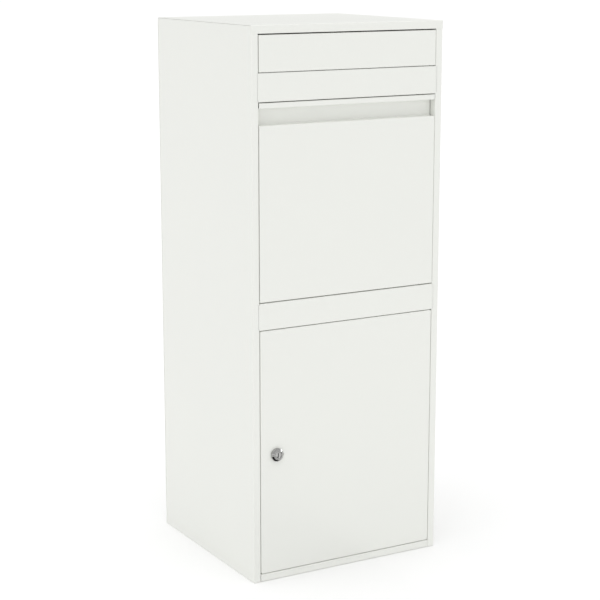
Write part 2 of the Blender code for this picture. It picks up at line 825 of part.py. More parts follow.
def lock_plug():
    width, depth, height = KEY_SLOT
    front = TOUCH - LOCK_PROUD
    screw_bore = CAM_SCREW_RADIUS + TOUCH
    bore_end = CAM_START - 3 * CAM_SCREW_RADIUS
    profile = [
        (0, bore_end),
        (screw_bore, bore_end),
        (screw_bore, CAM_END - TOUCH),
        (TENON_RADIUS, CAM_END - TOUCH),
        (TENON_RADIUS, CAM_START - TOUCH),
        (PLUG_RADIUS, CAM_START - TOUCH),
        (PLUG_RADIUS, front),
        (0, front),
    ]
    plug = turned("lock_plug", profile, LOCK_AXIS, "Y", CHROME, lock_axis)
    corner = Vector((width / 2, 0, height / 2))
    slot_front = LOCK_AXIS + Vector((0, front - depth, 0))
    slot_back = LOCK_AXIS + Vector((0, front + depth, 0))
    cut(plug, box_cutter("key_slot", slot_front - corner, slot_back + corner))


def lock_ring(name, radius, start, thickness, sides):
    """The washer or the hexagon nut round the barrel, behind the door's sheet."""
    shape = bmesh.new()
    middle = LOCK_AXIS + Vector((0, start + thickness / 2, 0))
    matrix = Matrix.Translation(middle) @ TURN_TO["Y"]
    add_drum(shape, matrix, radius, thickness, sides)
    ring = add_part(name, mesh_from(name, shape), ZINC, door_axis)
    cut(ring, round_cutter(name + "_bore", middle, BARREL_RADIUS + TOUCH, 2 * thickness, "Y"))


def lock_cam():
    half = CAM_WIDTH / 2
    outline = []
    for step in range(13):
        angle = math.pi * step / 12
        outline.append((LOCK_AXIS.x + half * math.cos(angle), LOCK_AXIS.z + half * math.sin(angle)))
    tip = LOCK_AXIS.z - CAM_REACH
    chamfer = half / 3
    outline += [
        (LOCK_AXIS.x - half, tip + chamfer),
        (LOCK_AXIS.x - half + chamfer, tip),
        (LOCK_AXIS.x + half - chamfer, tip),
        (LOCK_AXIS.x + half, tip + chamfer),
    ]
    matrix = facing_y(FRONT + (CAM_START + CAM_END) / 2)
    cam = plate("lock_cam", outline, CAM_THICKNESS, matrix, ZINC, lock_axis)
    middle = LOCK_AXIS + Vector((0, CAM_START, 0))
    cut(cam, round_cutter("cam_bore", middle, TENON_RADIUS + TOUCH, 4 * CAM_THICKNESS, "Y"))


def cam_screw():
    start = CAM_START - 3 * CAM_SCREW_RADIUS + TOUCH
    head_length = 1.5 * CAM_SCREW_RADIUS
    end = CAM_END + TOUCH + head_length
    head = (CAM_SCREW_HEAD, head_length)
    pin("cam_screw", CAM_SCREW_RADIUS, start, end, LOCK_AXIS, "Y", ZINC, lock_axis, head)


lock_housing()
lock_plug()
lock_ring("lock_washer", WASHER_RADIUS, WASHER_START, WASHER_THICKNESS, ROUND_STEPS)
lock_ring("lock_nut", NUT_ACROSS_FLATS / 2 / math.cos(math.pi / 6), NUT_START, NUT_THICKNESS, 6)
lock_cam()
cam_screw()
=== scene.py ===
import json
import math

import bmesh
import bpy
import numpy as np
from mathutils import Matrix, Vector


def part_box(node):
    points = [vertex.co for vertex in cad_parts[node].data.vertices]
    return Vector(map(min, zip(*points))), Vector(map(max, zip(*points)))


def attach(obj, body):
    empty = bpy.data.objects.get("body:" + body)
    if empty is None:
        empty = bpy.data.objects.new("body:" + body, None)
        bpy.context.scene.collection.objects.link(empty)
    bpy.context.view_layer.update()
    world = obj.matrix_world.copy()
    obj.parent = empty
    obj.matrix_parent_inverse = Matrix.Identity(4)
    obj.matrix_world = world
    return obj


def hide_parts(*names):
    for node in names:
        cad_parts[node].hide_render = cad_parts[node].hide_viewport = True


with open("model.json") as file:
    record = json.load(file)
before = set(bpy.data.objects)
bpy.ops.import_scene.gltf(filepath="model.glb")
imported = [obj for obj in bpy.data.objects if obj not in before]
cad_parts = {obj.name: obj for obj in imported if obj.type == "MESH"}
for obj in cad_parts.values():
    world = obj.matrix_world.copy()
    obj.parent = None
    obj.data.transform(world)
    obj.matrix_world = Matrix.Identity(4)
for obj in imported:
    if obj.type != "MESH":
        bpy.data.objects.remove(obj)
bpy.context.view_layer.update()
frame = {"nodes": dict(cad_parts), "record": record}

print("frame loaded:", len(frame["nodes"]), "nodes")

# sheet metal, in metres; every folded piece below uses these unless it says otherwise
sheet = {"thick": 0.0012, "bend": 0.0020, "bendSteps": 8, "touch": 0.0003, "cutEdge": 0.00022}

cabinet = {"halfWidth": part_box("back_panel")[1].x, "front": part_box("door_panel")[0].y}


class Sock:
    # wraps one output socket, so that a + b, 1 - a and a * b add their Math nodes
    def __init__(self, mat, out):
        self.mat = mat
        self.out = out

    def maths(self, operation, first, second=None, third=None):
        values = [value for value in (first, second, third) if value is not None]
        return self.mat.node("ShaderNodeMath", {"operation": operation}, values)

    def __add__(self, other):
        return self.maths("ADD", self, other)

    __radd__ = __add__

    def __sub__(self, other):
        return self.maths("SUBTRACT", self, other)

    def __rsub__(self, other):
        return self.maths("SUBTRACT", other, self)

    def __mul__(self, other):
        return self.maths("MULTIPLY", self, other)

    __rmul__ = __mul__

    def __truediv__(self, other):
        return self.maths("DIVIDE", self, other)

    def __rtruediv__(self, other):
        return self.maths("DIVIDE", other, self)

    def __pow__(self, other):
        return self.maths("POWER", self, other)

    def clamped(self, low=0.0, high=1.0):
        return self.maths("MINIMUM", self.maths("MAXIMUM", self, low), high)


class Finish:
    # one material: node() adds any node, its settings first and then its sockets' values or links
    def __init__(self, name):
        self.material = bpy.data.materials.new(name)
        self.material.use_nodes = True
        self.tree = self.material.node_tree
        self.shader = self.tree.nodes["Principled BSDF"]

    def node(self, kind, settings=None, sockets=(), out=0):
        made = self.tree.nodes.new(kind)
        for key, value in (settings or {}).items():
            setattr(made, key, value)
        pairs = sockets.items() if isinstance(sockets, dict) else enumerate(sockets)
        for key, value in pairs:
            self.feed(made.inputs[key], value)
        return Sock(self, made.outputs[out])

    def feed(self, socket, value):
        if isinstance(value, Sock):
            self.tree.links.new(value.out, socket)
        elif isinstance(value, tuple) and len(value) == 3 and socket.type == "RGBA":
            socket.default_value = (*value, 1.0)
        else:
            socket.default_value = value

    def set(self, **values):
        names = {"baseColor": "Base Color", "specular": "Specular IOR Level"}
        for key, value in values.items():
            self.feed(self.shader.inputs[names.get(key, key.capitalize())], value)

    def place(self):
        return self.node("ShaderNodeTexCoord", out="Object")

    def scaled(self, place, scale):
        return self.node("ShaderNodeMapping", sockets={"Vector": place, "Scale": scale})

    def noise(self, place, scale, detail=2.0, rough=0.5):
        sockets = {"Vector": place, "Scale": scale, "Detail": detail, "Roughness": rough}
        return self.node("ShaderNodeTexNoise", sockets=sockets)

    def mixed(self, factor, first, second):
        sockets = {0: factor, 6: first, 7: second}
        return self.node("ShaderNodeMix", {"data_type": "RGBA"}, sockets, out=2)

    def axes(self, place):
        split = self.node("ShaderNodeSeparateXYZ", sockets=[place])
        return [Sock(self, split.out.node.outputs[i]) for i in range(3)]

    def bump(self, height, distance, strength=1.0):
        sockets = {"Height": height, "Distance": distance, "Strength": strength}
        self.feed(self.shader.inputs["Normal"], self.node("ShaderNodeBump", sockets=sockets))


coatLook = {
    "white": (0.838, 0.848, 0.806), "whiteCool": (0.828, 0.838, 0.800), "rough": 0.36, "roughSwing": 0.10,
    "peelScale": 720.0, "peelDepth": 0.000016, "grainScale": 2600.0,
}


def powderCoat(name, white, cool, rough, weldRows=()):
    # colour drifts between two close whites over tens of centimetres; the orange peel is two noises summed
    finish = Finish(name)
    place = finish.place()
    drift = finish.noise(place, 4.0, 3.0)
    speck = finish.noise(place, coatLook["grainScale"], 1.0)
    colour = finish.mixed((drift - 0.35).clamped() * 1.6, white, cool)
    colour = finish.mixed((speck - 0.5) * 0.10, colour, (0.60, 0.61, 0.58))
    peel = finish.noise(place, coatLook["peelScale"], 2.0, 0.45)
    cloud = finish.noise(place, 38.0, 2.0)
    roughness = (cloud - 0.5) * coatLook["roughSwing"] + (peel - 0.5) * 0.06 + rough
    finish.set(baseColor=colour, roughness=roughness, metallic=0.0, specular=0.5)
    height = peel * 0.8 + speck * 0.2
    for weld in weldRows:
        height = height - weldDimples(finish, place, *weld) * 4.0
    finish.bump(height, coatLook["peelDepth"], 0.6)
    return finish.material


def weldDimples(finish, place, acrossAxis, acrossAt, alongAxis, pitch, radius):
    # spot welds in a row: distance to the nearest point (acrossAt, n * pitch), turned into a shallow dish
    axes = finish.axes(place)
    across = axes[acrossAxis].maths("ABSOLUTE", axes[acrossAxis]) - acrossAt
    along = axes[alongAxis].maths("PINGPONG", axes[alongAxis], pitch / 2)
    reach = (across * across + along * along) ** 0.5
    return (1.0 - reach / radius).clamped()


def zincPlate(name):
    # brushed zinc: a noise stretched along Z for the grain, and a cloudy bluish and straw passivation
    finish = Finish(name)
    place = finish.place()
    grain = finish.noise(finish.scaled(place, (900.0, 900.0, 60.0)), 1.0, 3.0, 0.6)
    cloud = finish.noise(place, 70.0, 3.0)
    colour = finish.mixed((cloud - 0.3).clamped() * 1.8, (0.60, 0.615, 0.63), (0.66, 0.64, 0.57))
    finish.set(baseColor=colour, roughness=grain * 0.16 + 0.24, metallic=1.0)
    finish.bump(grain, 0.00001, 0.35)
    return finish.material


def chromePlate(name, tone):
    # polished chrome over cast zinc: faint swirls from handling vary the roughness
    finish = Finish(name)
    place = finish.place()
    swirl = finish.noise(place, 260.0, 4.0, 0.7)
    film = finish.noise(place, 90.0, 2.0)
    colour = finish.mixed((film - 0.3).clamped(), tone, tuple(value * 0.93 for value in tone))
    finish.set(baseColor=colour, roughness=swirl * 0.10 + 0.06, metallic=1.0)
    finish.bump(swirl, 0.000012, 0.2)
    return finish.material


def springWire(name):
    # drawn wire with an oily bloom
    finish = Finish(name)
    place = finish.place()
    oil = finish.noise(place, 420.0, 3.0)
    colour = finish.mixed(oil, (0.30, 0.29, 0.27), (0.50, 0.49, 0.46))
    finish.set(baseColor=colour, roughness=oil * 0.2 + 0.22, metallic=1.0)
    finish.bump(oil, 0.00001, 0.3)
    return finish.material


def bumperRubber(name):
    # matte black rubber with a dusty bloom and a fine moulded grain
    finish = Finish(name)
    place = finish.place()
    bloom = finish.noise(place, 160.0, 3.0)
    grain = finish.noise(place, 1800.0, 2.0)
    colour = finish.mixed(bloom, (0.018, 0.018, 0.019), (0.045, 0.045, 0.043))
    finish.set(baseColor=colour, roughness=bloom * 0.15 + 0.70, metallic=0.0)
    finish.bump(grain, 0.00003, 0.5)
    return finish.material


def keySlotShadeFinish(name):
    # a near-black plate inside the key slot: painted shade for the slot's depth, mottled lighter by a noise
    finish = Finish(name)
    place = finish.place()
    mottle = finish.noise(place, 900.0, 3.0)
    colour = finish.mixed(mottle, (0.030, 0.030, 0.030), (0.10, 0.095, 0.080))
    finish.set(baseColor=colour, roughness=mottle * 0.2 + 0.4, metallic=0.8)
    finish.bump(mottle, 0.00002, 0.4)
    return finish.material


shellWelds = [(0, cabinet["halfWidth"] - 0.0075, 2, 0.085, 0.0032)]
bodyPaint = powderCoat("bodyPaint", coatLook["white"], coatLook["whiteCool"], coatLook["rough"])
backPaint = powderCoat("backPaint", coatLook["white"], coatLook["whiteCool"], coatLook["rough"], shellWelds)
innerPaint = powderCoat("innerPaint", (0.80, 0.81, 0.77), (0.78, 0.79, 0.755), 0.46)
zincSteel = zincPlate("zincSteel")
chrome = chromePlate("chrome", (0.47, 0.47, 0.46))
springSteel = springWire("springSteel")
rubber = bumperRubber("rubber")
keyway = keySlotShadeFinish("keyway")

slotFinish = {
    "body_paint": bodyPaint, "inner_paint": innerPaint, "zinc_steel": zincSteel, "chrome": chrome,
    "spring_steel": springSteel, "bumper_rubber": rubber,
}
for row in frame["record"]["subparts"]:
    node = frame["nodes"][row["node"]]
    node.data.materials.clear()
    node.data.materials.append(backPaint if row["node"] == "back_panel" else slotFinish[row["material_slot"]])
print("finishes made:", len(bpy.data.materials))


def newPiece(name, points, faces, body, nodes, finish, sharpAngle=35.0):
    mesh = bpy.data.meshes.new(name)
    mesh.from_pydata(np.asarray(points, float).tolist(), [], [tuple(face) for face in faces])
    mesh.validate()
    shape = bmesh.new()
    shape.from_mesh(mesh)
    bmesh.ops.remove_doubles(shape, verts=shape.verts, dist=1e-6)
    bmesh.ops.recalc_face_normals(shape, faces=shape.faces)
    shape.to_mesh(mesh)
    shape.free()
    mesh.shade_smooth()
    mesh.set_sharp_from_angle(angle=math.radians(sharpAngle))
    mesh.materials.append(finish)
    piece = bpy.data.objects.new(name, mesh)
    bpy.context.scene.collection.objects.link(piece)
    weighted = piece.modifiers.new("evenFaces", "WEIGHTED_NORMAL")
    weighted.keep_sharp = True
    weighted.weight = 100
    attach(piece, body)
    if nodes:
        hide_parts(*nodes)
    return piece


def gridFaces(rows, columns, wrapRows=False, wrapColumns=False):
    # quads between neighbouring points of a rows by columns grid, numbered row by row
    row = np.arange(rows if wrapRows else rows - 1)
    column = np.arange(columns if wrapColumns else columns - 1)
    r, c = np.meshgrid(row, column, indexing="ij")
    r, c = r.ravel(), c.ravel()
    rNext, cNext = (r + 1) % rows, (c + 1) % columns
    return np.stack([r * columns + c, r * columns + cNext, rNext * columns + cNext, rNext * columns + c], 1)


def foldedLine(corners, radius, steps):
    # each inner corner gives way to an arc of the bend radius that touches both of its sides
    corners = np.asarray(corners, float)
    runs = [corners[:1]]
    for before, corner, after in zip(corners, corners[1:], corners[2:]):
        toward = (before - corner) / np.linalg.norm(before - corner)
        away = (after - corner) / np.linalg.norm(after - corner)
        half = math.acos(float(np.clip(toward @ away, -1, 1))) / 2
        middle = corner + (toward + away) / np.linalg.norm(toward + away) * radius / math.sin(half)
        start = corner + toward * radius / math.tan(half) - middle
        end = corner + away * radius / math.tan(half) - middle
        turn = math.atan2(start[0] * end[1] - start[1] * end[0], start @ end)
        angle = np.linspace(0, turn, steps + 1)[:, None]
        side = np.array([-start[1], start[0]])
        runs.append(middle + start * np.cos(angle) + side * np.sin(angle))
    runs.append(corners[-1:])
    return np.concatenate(runs)


def lineNormals(line, hand):
    # mitred normals: the sum of both sides' unit normals over one plus their dot product
    step = np.diff(line, axis=0)
    step /= np.linalg.norm(step, axis=1)[:, None]
    side = np.stack([step[:, 1], -step[:, 0]], 1) * hand
    before = np.vstack([side[:1], side])
    after = np.vstack([side, side[-1:]])
    return (before + after) / (1 + (before * after).sum(1))[:, None]


def foldedSheet(name, corners, low, high, along, body, nodes, finish):
    # the section is the folded line and its copy one thickness inside; it runs from low to high, and its
    # cut edges are eased by shrinking the section by the edge size at both ends and at both rims
    thick, ease = sheet["thick"], sheet["cutEdge"]
    line = foldedLine(corners, sheet["bend"], sheet["bendSteps"])
    normal = lineNormals(line, -1 if along == "Y" else 1)
    tip = np.array([line[0] - line[1], line[-1] - line[-2]])
    tip /= np.linalg.norm(tip, axis=1)[:, None]

    def section(shrink):
        outer = line - normal * shrink
        inner = line - normal * (thick - shrink)
        for side in (outer, inner):
            side[0] = side[0] - tip[0] * ease
            side[-1] = side[-1] - tip[1] * ease
        capStart = np.array([inner[0] + tip[0] * (ease - shrink) + normal[0] * max(ease - shrink, 0),
                             outer[0] + tip[0] * (ease - shrink) - normal[0] * max(ease - shrink, 0)])
        capEnd = np.array([outer[-1] + tip[1] * (ease - shrink) - normal[-1] * max(ease - shrink, 0),
                           inner[-1] + tip[1] * (ease - shrink) + normal[-1] * max(ease - shrink, 0)])
        return np.vstack([outer, capEnd, inner[::-1], capStart])

    stations = [(low, ease), (low + ease, 0.0), (high - ease, 0.0), (high, ease)]
    loops = []
    for run, shrink in stations:
        flat = section(shrink)
        fill = np.full(len(flat), run)
        order = {"X": (fill, flat[:, 0], flat[:, 1]), "Y": (flat[:, 0], fill, flat[:, 1]),
                 "Z": (flat[:, 0], flat[:, 1], fill)}[along]
        loops.append(np.stack(order, 1))
    count = len(loops[0])
    faces = gridFaces(len(loops), count, wrapColumns=True)
    outerCount = len(line)
    # end caps: a strip of quads between the outer and the inner line
    steps = np.arange(outerCount - 1)
    innerAt = 2 * outerCount + 1 - steps
    strip = np.stack([steps, steps + 1, innerAt - 1, innerAt], 1)
    last = (len(loops) - 1) * count
    rims = [[outerCount - 1, outerCount, outerCount + 1, outerCount + 2],
            [2 * outerCount + 1, 2 * outerCount + 2, 2 * outerCount + 3, 0]]
    caps = np.vstack([strip, rims])
    faces = np.vstack([faces, caps, caps[:, ::-1] + last])
    return newPiece(name, np.vstack(loops), faces, body, nodes, finish)


def turned(name, profile, centre, axis, body, nodes, finish, steps):
    # a profile of (radius, height) points carried round its axis; heights run along the axis from the centre
    profile = np.asarray(profile, float)
    angle = np.linspace(0, 2 * math.pi, steps, endpoint=False)
    radius, height = profile[:, 0][:, None], profile[:, 1][:, None]
    first, second = radius * np.cos(angle), radius * np.sin(angle)
    third = np.broadcast_to(height, first.shape)
    order = {"X": (third, first, second), "Y": (second, third, first), "Z": (first, second, third)}[axis]
    points = np.stack([part.ravel() for part in order], 1) + np.asarray(centre)
    faces = gridFaces(len(profile), steps, wrapColumns=True)
    return newPiece(name, points, faces, body, nodes, finish)


def carve(piece, cutters):
    # takes holes or notches out of a piece, and keeps the cut mesh
    for cutter in cutters:
        cut = piece.modifiers.new("carve", "BOOLEAN")
        cut.operation = "DIFFERENCE"
        cut.solver = "MANIFOLD"
        cut.object = cutter
        piece.modifiers.move(len(piece.modifiers) - 1, 0)
    weighted = piece.modifiers["evenFaces"]
    weighted.show_viewport = False
    bpy.context.view_layer.update()
    evaluated = piece.evaluated_get(bpy.context.evaluated_depsgraph_get())
    mesh = bpy.data.meshes.new_from_object(evaluated)
    mesh.name = piece.data.name + "Cut"
    for cut in [m for m in piece.modifiers if m.type == "BOOLEAN"]:
        piece.modifiers.remove(cut)
    mesh.materials.clear()
    mesh.materials.append(piece.data.materials[0])
    piece.data = mesh
    mesh.set_sharp_from_angle(angle=math.radians(35.0))
    weighted.show_viewport = True
    for cutter in cutters:
        bpy.data.objects.remove(cutter)


def drum(centre, radius, length, axis, steps=48):
    # a plain cylinder to carve with
    shape = bmesh.new()
    quarter = math.pi / 2
    turn = {"X": Matrix.Rotation(quarter, 4, "Y"), "Y": Matrix.Rotation(quarter, 4, "X"), "Z": Matrix()}
    bmesh.ops.create_cone(shape, cap_ends=True, segments=steps, radius1=radius, radius2=radius, depth=length,
                          matrix=Matrix.Translation(centre) @ turn[axis])
    return carver(shape)


def brick(low, high):
    # a plain box to carve with
    shape = bmesh.new()
    size = Vector(high) - Vector(low)
    middle = (Vector(high) + Vector(low)) / 2
    bmesh.ops.create_cube(shape, size=1.0, matrix=Matrix.LocRotScale(middle, None, size))
    return carver(shape)


def carver(shape):
    mesh = bpy.data.meshes.new("carver")
    bmesh.ops.recalc_face_normals(shape, faces=shape.faces)
    shape.to_mesh(mesh)
    shape.free()
    tool = bpy.data.objects.new("carver", mesh)
    bpy.context.scene.collection.objects.link(tool)
    return tool


def flatPlate(name, outline, low, high, axis, body, nodes, finish, ease=None):
    # a flat outline between two planes; its rims are eased by moving the outline in along its mitred normals
    outline = np.asarray(outline, float)
    ahead = np.roll(outline, -1, axis=0) - outline
    ahead /= np.linalg.norm(ahead, axis=1)[:, None]
    following = np.roll(outline, -1, axis=0)
    turn = np.sign((outline[:, 0] * following[:, 1] - outline[:, 1] * following[:, 0]).sum())
    after = np.stack([ahead[:, 1], -ahead[:, 0]], 1) * turn
    before = np.roll(after, 1, axis=0)
    normal = (before + after) / (1 + (before * after).sum(1))[:, None]
    ease = sheet["cutEdge"] if ease is None else ease
    loops = []
    for run, shrink in ((low, ease), (low + ease, 0.0), (high - ease, 0.0), (high, ease)):
        flat = outline - normal * shrink
        fill = np.full(len(flat), run)
        order = {"X": (fill, flat[:, 0], flat[:, 1]), "Y": (flat[:, 0], fill, flat[:, 1]),
                 "Z": (flat[:, 0], flat[:, 1], fill)}[axis]
        loops.append(np.stack(order, 1))
    count = len(outline)
    faces = gridFaces(len(loops), count, wrapColumns=True).tolist()
    faces += [list(range(count))[::-1], list(range(3 * count, 4 * count))]
    return newPiece(name, np.vstack(loops), faces, body, nodes, finish)


def wire(name, path, radius, across, body, nodes, finish, sides=12):
    # a round wire: circles square to the path, framed by the direction across it, with coned ends
    path = np.asarray(path, float)
    tangent = np.gradient(path, axis=0)
    tangent /= np.linalg.norm(tangent, axis=1)[:, None]
    first = np.cross(tangent, np.asarray(across, float))
    first /= np.linalg.norm(first, axis=1)[:, None]
    second = np.cross(tangent, first)
    angle = np.linspace(0, 2 * math.pi, sides, endpoint=False)
    spread = np.full(len(path), radius)
    spread[0] = spread[-1] = radius * 0.55
    ring = first[:, None] * np.cos(angle)[None, :, None] + second[:, None] * np.sin(angle)[None, :, None]
    points = (path[:, None] + ring * spread[:, None, None]).reshape(-1, 3)
    faces = gridFaces(len(path), sides, wrapColumns=True).tolist()
    last = (len(path) - 1) * sides
    faces += [list(range(sides))[::-1], list(range(last, last + sides))]
    return newPiece(name, points, faces, body, nodes, finish, 60.0)


shell = {
    "stileWide": 0.0142, "stileDeep": 0.0185, "rearFlange": 0.0150, "rearLip": 0.0120, "bore": 0.0023,
    "fixing": 0.0050, "backFixings": ((0.140, 0.180), (0.140, 0.860)), "floorFixing": (0.130, 0.110),
}
thick, touch = sheet["thick"], sheet["touch"]
rodBox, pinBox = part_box("letter_flap_rod"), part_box("hopper_hinge_pin_right")
flapAxis = (rodBox[0] + rodBox[1]) / 2
hopperAxis = (pinBox[0] + pinBox[1]) / 2


def sidePanel(word, hand):
    node = word + "_side_panel"
    low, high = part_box(node)
    wide = cabinet["halfWidth"]
    stile = wide - shell["stileWide"]
    corners = [(stile, low.y + shell["stileDeep"]), (stile, low.y), (wide, low.y), (wide, high.y),
               (wide - shell["rearFlange"], high.y)]
    if hand < 0:
        corners = [(-x, y) for x, y in reversed(corners)]
    panel = foldedSheet(word + "SidePanel", corners, low.z, high.z, "Z", "cabinet", [node], bodyPaint)
    coverLow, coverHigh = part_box("top_cover")
    left, right = sorted((hand * (wide - 0.05), hand * (wide + 0.05)))
    lipFront = coverLow.y + thick + touch
    lipRear = coverHigh.y - thick - touch
    rearBottom = coverHigh.z - shell["rearLip"] - touch
    seamGap = touch / 10
    tools = [brick((left, low.y - 0.01, coverLow.z - seamGap), (right, lipFront, high.z + 0.01)),
             brick((left, lipRear, rearBottom), (right, high.y + 0.01, high.z + 0.01))]
    for axis in (flapAxis, hopperAxis):
        tools.append(drum((hand * (stile + thick / 2), axis.y, axis.z), shell["bore"], 4 * thick, "X"))
    carve(panel, tools)


def topCover():
    low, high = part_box("top_cover")
    corners = [(high.y, high.z - shell["rearLip"]), (high.y, high.z), (low.y, high.z), (low.y, low.z)]
    foldedSheet("topCover", corners, low.x, high.x, "X", "cabinet", ["top_cover"], bodyPaint)


def backPanel():
    low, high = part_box("back_panel")
    corners = [(high.x, high.y), (low.x, high.y)]
    panel = foldedSheet("backPanel", corners, low.z, high.z, "Z", "cabinet", ["back_panel"], backPaint)
    tools = [drum((hand * x, high.y, z), shell["fixing"], 8 * thick, "Y")
             for hand in (-1, 1) for x, z in shell["backFixings"]]
    carve(panel, tools)


def floorPan():
    low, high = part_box("floor_pan")
    corners = [(high.x, high.z), (high.x, low.z), (low.x, low.z), (low.x, high.z)]
    pan = foldedSheet("floorPan", corners, low.y, high.y, "Y", "cabinet", ["floor_pan"], innerPaint)
    x, y = shell["floorFixing"]
    tools = [drum((handX * x, handY * y, low.z), shell["fixing"], 8 * thick, "Z")
             for handX in (-1, 1) for handY in (-1, 1)]
    carve(pan, tools)


def channelRail(name, node):
    low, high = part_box(node)
    corners = [(high.y, high.z), (low.y, high.z), (low.y, low.z), (high.y, low.z)]
    foldedSheet(name, corners, low.x, high.x, "X", "cabinet", [node], bodyPaint)


sidePanel("left", -1)
sidePanel("right", 1)
topCover()
backPanel()
floorPan()
channelRail("bottomRail", "bottom_rail")
channelRail("midRail", "mid_rail")

letterBay = {
    "catch": 0.0080, "chuteDrop": 0.01245, "chuteFlange": 0.0190, "chuteLip": 0.0100,
    "flapSill": 0.0050, "flapLip": 0.00625,
    "springTurns": 7, "springPerTurn": 28, "springLeg": 0.0140, "springWire": 0.0004,
}


def letterStrip():
    low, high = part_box("letter_strip")
    sill, rear = low.z + letterBay["catch"], high.y - thick
    corners = [(low.y, high.z), (low.y, sill), (rear, sill), (rear, low.z)]
    foldedSheet("letterStrip", corners, low.x, high.x, "X", "cabinet", ["letter_strip"], bodyPaint)


def letterChute():
    low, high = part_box("letter_chute")
    front, rear = low.y + thick, high.y - thick
    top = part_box("letter_strip")[1].z - letterBay["chuteDrop"]
    corners = [(front, top - letterBay["chuteFlange"]), (front, top), (rear, low.z + letterBay["chuteLip"]),
               (rear, low.z)]
    foldedSheet("letterChute", corners, low.x, high.x, "X", "cabinet", ["letter_chute"], innerPaint)


def letterFlap():
    low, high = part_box("letter_flap")
    sill = low.z + letterBay["flapLip"]
    back = low.y + letterBay["flapSill"]
    corners = [(high.y, high.z), (low.y, high.z), (low.y, sill), (back, sill), (back, low.z)]
    foldedSheet("letterFlap", corners, low.x, high.x, "X", "letter_flap", ["letter_flap"], bodyPaint)


def flapRod():
    low, high = rodBox
    radius = (high.z - low.z) / 2
    half = (high.x - low.x) / 2
    ease = radius / 4
    profile = [(0, -half), (radius - ease, -half), (radius, ease - half), (radius, half - ease),
               (radius - ease, half), (0, half)]
    turned("flapRod", profile, flapAxis, "X", "letter_flap", ["letter_flap_rod"], zincSteel, 40)


def flapSpring(word, hand):
    # a torsion spring: one leg down the back of the flap, a coil round the rod, one leg to the rear
    node = "flap_spring_" + word
    low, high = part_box(node)
    near = (low.x if hand > 0 else high.x) + hand * letterBay["springWire"]
    far = (high.x if hand > 0 else low.x) - hand * letterBay["springWire"]
    coil = high.z - flapAxis.z - letterBay["springWire"]
    turns = letterBay["springTurns"] + 0.25
    angle = np.linspace(0, 2 * math.pi * turns, int(letterBay["springPerTurn"] * turns) + 1)
    across = near + (far - near) * angle / angle[-1]
    helix = np.stack([across, flapAxis.y - coil * np.cos(angle), flapAxis.z + coil * np.sin(angle)], 1)
    leg = np.linspace(letterBay["springLeg"], 0, 8, endpoint=False)
    down = np.stack([np.full(8, near), np.full(8, flapAxis.y - coil), flapAxis.z - leg], 1)
    run = np.linspace(0, letterBay["springLeg"] / 2, 7)[1:]
    rear = helix[-1] + np.stack([np.zeros(6), run, np.zeros(6)], 1)
    wire("flapSpring" + word.capitalize(), np.vstack([down, helix, rear]), letterBay["springWire"], (1, 0, 0),
         "letter_flap", [node], springSteel)


letterStrip()
letterChute()
letterFlap()
flapRod()
flapSpring("left", -1)
flapSpring("right", 1)
print("cabinet and letter bay made")


hopper = {
    "edge": 0.0120, "pullLip": 0.0097, "pullHigh": 0.0300, "pullDeep": 0.0160, "swing": math.radians(45),
    "radius": 0.330, "trayFlat": 0.0300, "trayFlange": 0.0150, "trayLip": 0.0100, "hatFoot": 0.0100,
}
frontLow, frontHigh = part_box("hopper_front")
trayBend = np.array([frontLow.y + thick + touch + hopper["trayFlat"], frontLow.z + thick + touch])
trayDown = np.array([math.cos(hopper["swing"]), -math.sin(hopper["swing"])])


def trayEnd():
    # where the tray's slope meets the hopper's radius about its axis
    start = trayBend - np.array([hopperAxis.y, hopperAxis.z])
    along = start @ trayDown
    return trayBend + trayDown * (math.sqrt(along ** 2 - start @ start + hopper["radius"] ** 2) - along)


def hopperFront():
    low, high = frontLow, frontHigh
    back = low.y + hopper["pullDeep"]
    top = high.z - hopper["pullLip"]
    bottom = top - hopper["pullHigh"]
    corners = [(low.y + hopper["edge"], high.z), (low.y, high.z), (low.y, top), (back, top), (back, bottom),
               (low.y, bottom), (low.y, low.z), (low.y + hopper["edge"], low.z)]
    foldedSheet("hopperFront", corners, low.x, high.x, "X", "hopper", ["hopper_front"], bodyPaint)


def hopperTray():
    low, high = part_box("hopper_tray")
    front = frontLow.y + thick + touch
    end = trayEnd()
    lip = end + np.array([-math.sin(hopper["swing"]), -math.cos(hopper["swing"])]) * hopper["trayLip"]
    corners = [(front, trayBend[1] + hopper["trayFlange"]), (front, trayBend[1]), trayBend, end, lip]
    foldedSheet("hopperTray", corners, low.x, high.x, "X", "hopper", ["hopper_tray"], innerPaint)


def hatSection(middle, half, face, top, foot):
    # (out from the face, along the face), foot to foot
    return [(face, middle - half - foot), (face, middle - half), (top, middle - half), (top, middle + half),
            (face, middle + half), (face, middle + half + foot)]


def hopperStiffener():
    low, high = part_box("hopper_stiffener")
    middle = (low.z + high.z) / 2
    half = (high.z - low.z) / 2 - hopper["hatFoot"]
    corners = hatSection(middle, half, low.y + thick, high.y, hopper["hatFoot"])
    foldedSheet("hopperStiffener", corners, low.x, high.x, "X", "hopper", ["hopper_stiffener"], innerPaint)


